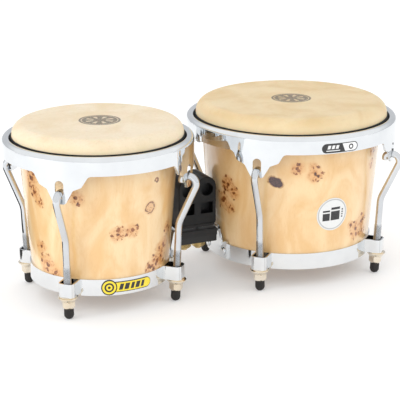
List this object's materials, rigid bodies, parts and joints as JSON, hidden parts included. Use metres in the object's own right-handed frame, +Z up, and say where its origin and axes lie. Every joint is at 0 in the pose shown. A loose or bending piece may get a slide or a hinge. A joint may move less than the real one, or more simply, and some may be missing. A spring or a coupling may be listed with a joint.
{
  "type": "bongo drums",
  "caption": "A joined pair of tapered wooden hand drums of two sizes, each with a rawhide head, a deep rim, hooks and tuning nuts, held together by a bolted centre block.",
  "frame": {"origin": "centre of the bounding box in X and Y, on the floor under the rubber feet in Z", "axes": "+X runs from the small drum's axis to the large drum's axis, +Y points away from the player's badge side, +Z is up"},
  "size_m": [0.424, 0.2212, 0.1815],
  "materials": {
    "shell_wood": "satin",
    "head_rawhide": "matte",
    "chrome_plate": "gloss",
    "hoop_steel": "satin",
    "block_plastic": "matte",
    "clamp_steel": "satin",
    "foot_rubber": "matte",
    "stud_brass": "satin",
    "badge_white": "gloss",
    "badge_yellow": "gloss"
  },
  "bodies": {
    "drum_pair": {"small_shell": "shell_wood", "small_head_skin": "head_rawhide", "small_washers": "chrome_plate", "small_bottom_ring": "chrome_plate", "small_lug_brackets": "chrome_plate", "small_block_strap": "chrome_plate", "small_strap_rivets": "chrome_plate", "large_shell": "shell_wood", "large_head_skin": "head_rawhide", "large_washers": "chrome_plate", "large_bottom_ring": "chrome_plate", "large_lug_brackets": "chrome_plate", "large_block_strap": "chrome_plate", "large_strap_rivets": "chrome_plate", "large_shell_badge": "badge_white", "small_ring_badge": "badge_yellow", "block_body": "block_plastic", "block_top_pad": "foot_rubber", "block_base_pad": "foot_rubber", "block_clamp_plate": "clamp_steel", "block_studs": "stud_brass", "block_lock_nuts": "stud_brass", "block_washers": "hoop_steel"},
    "small_collar": {"small_rim": "chrome_plate", "small_rim_liner": "foot_rubber", "small_flesh_hoop": "hoop_steel", "small_hook_1": "chrome_plate", "small_hook_2": "chrome_plate", "small_hook_3": "chrome_plate", "small_hook_4": "chrome_plate", "small_rubber_caps": "foot_rubber"},
    "small_tuning_nut_1": {"small_nut_1": "chrome_plate"},
    "small_tuning_nut_2": {"small_nut_2": "chrome_plate"},
    "small_tuning_nut_3": {"small_nut_3": "chrome_plate"},
    "small_tuning_nut_4": {"small_nut_4": "chrome_plate"},
    "large_collar": {"large_rim": "chrome_plate", "large_rim_liner": "foot_rubber", "large_flesh_hoop": "hoop_steel", "large_hook_1": "chrome_plate", "large_hook_2": "chrome_plate", "large_hook_3": "chrome_plate", "large_hook_4": "chrome_plate", "large_rubber_caps": "foot_rubber", "large_rim_badge": "badge_white"},
    "large_tuning_nut_1": {"large_nut_1": "chrome_plate"},
    "large_tuning_nut_2": {"large_nut_2": "chrome_plate"},
    "large_tuning_nut_3": {"large_nut_3": "chrome_plate"},
    "large_tuning_nut_4": {"large_nut_4": "chrome_plate"}
  },
  "joints": [
    {"name": "small_tuning", "type": "slide", "parent": "drum_pair", "child": "small_collar", "axis": [0, 0, 1], "range_m": [-0.003, 0]},
    {"name": "small_nut_1_turn", "type": "hinge", "parent": "drum_pair", "child": "small_tuning_nut_1", "pos_m": [-0.05962, 0.05864, 0.01505], "axis": [0.0333, 0.0345, 0.9988], "range_deg": [0, 865]},
    {"name": "small_nut_2_turn", "type": "hinge", "parent": "drum_pair", "child": "small_tuning_nut_2", "pos_m": [-0.17489, 0.05663, 0.01505], "axis": [-0.0345, 0.0333, 0.9988], "range_deg": [0, 865]},
    {"name": "small_nut_3_turn", "type": "hinge", "parent": "drum_pair", "child": "small_tuning_nut_3", "pos_m": [-0.17288, -0.05864, 0.01505], "axis": [-0.0333, -0.0345, 0.9988], "range_deg": [0, 865]},
    {"name": "small_nut_4_turn", "type": "hinge", "parent": "drum_pair", "child": "small_tuning_nut_4", "pos_m": [-0.05761, -0.05663, 0.01505], "axis": [0.0345, -0.0333, 0.9988], "range_deg": [0, 865]},
    {"name": "large_tuning", "type": "slide", "parent": "drum_pair", "child": "large_collar", "axis": [0, 0, 1], "range_m": [-0.003, 0]},
    {"name": "large_nut_1_turn", "type": "hinge", "parent": "drum_pair", "child": "large_tuning_nut_1", "pos_m": [0.17071, 0.06698, 0.01505], "axis": [0.0345, 0.0333, 0.9988], "range_deg": [0, 865]},
    {"name": "large_nut_2_turn", "type": "hinge", "parent": "drum_pair", "child": "large_tuning_nut_2", "pos_m": [0.03437, 0.06936, 0.01505], "axis": [-0.0333, 0.0345, 0.9988], "range_deg": [0, 865]},
    {"name": "large_nut_3_turn", "type": "hinge", "parent": "drum_pair", "child": "large_tuning_nut_3", "pos_m": [0.03199, -0.06698, 0.01505], "axis": [-0.0345, -0.0333, 0.9988], "range_deg": [0, 865]},
    {"name": "large_nut_4_turn", "type": "hinge", "parent": "drum_pair", "child": "large_tuning_nut_4", "pos_m": [0.16833, -0.06936, 0.01505], "axis": [0.0333, -0.0345, 0.9988], "range_deg": [0, 865]}
  ],
  "couplings": [
    {"joint": "small_nut_1_turn", "follows": "small_tuning", "rad_per_m": -5026.6},
    {"joint": "small_nut_2_turn", "follows": "small_tuning", "rad_per_m": -5026.6},
    {"joint": "small_nut_3_turn", "follows": "small_tuning", "rad_per_m": -5026.6},
    {"joint": "small_nut_4_turn", "follows": "small_tuning", "rad_per_m": -5026.6},
    {"joint": "large_nut_1_turn", "follows": "large_tuning", "rad_per_m": -5026.6},
    {"joint": "large_nut_2_turn", "follows": "large_tuning", "rad_per_m": -5026.6},
    {"joint": "large_nut_3_turn", "follows": "large_tuning", "rad_per_m": -5026.6},
    {"joint": "large_nut_4_turn", "follows": "large_tuning", "rad_per_m": -5026.6}
  ]
}
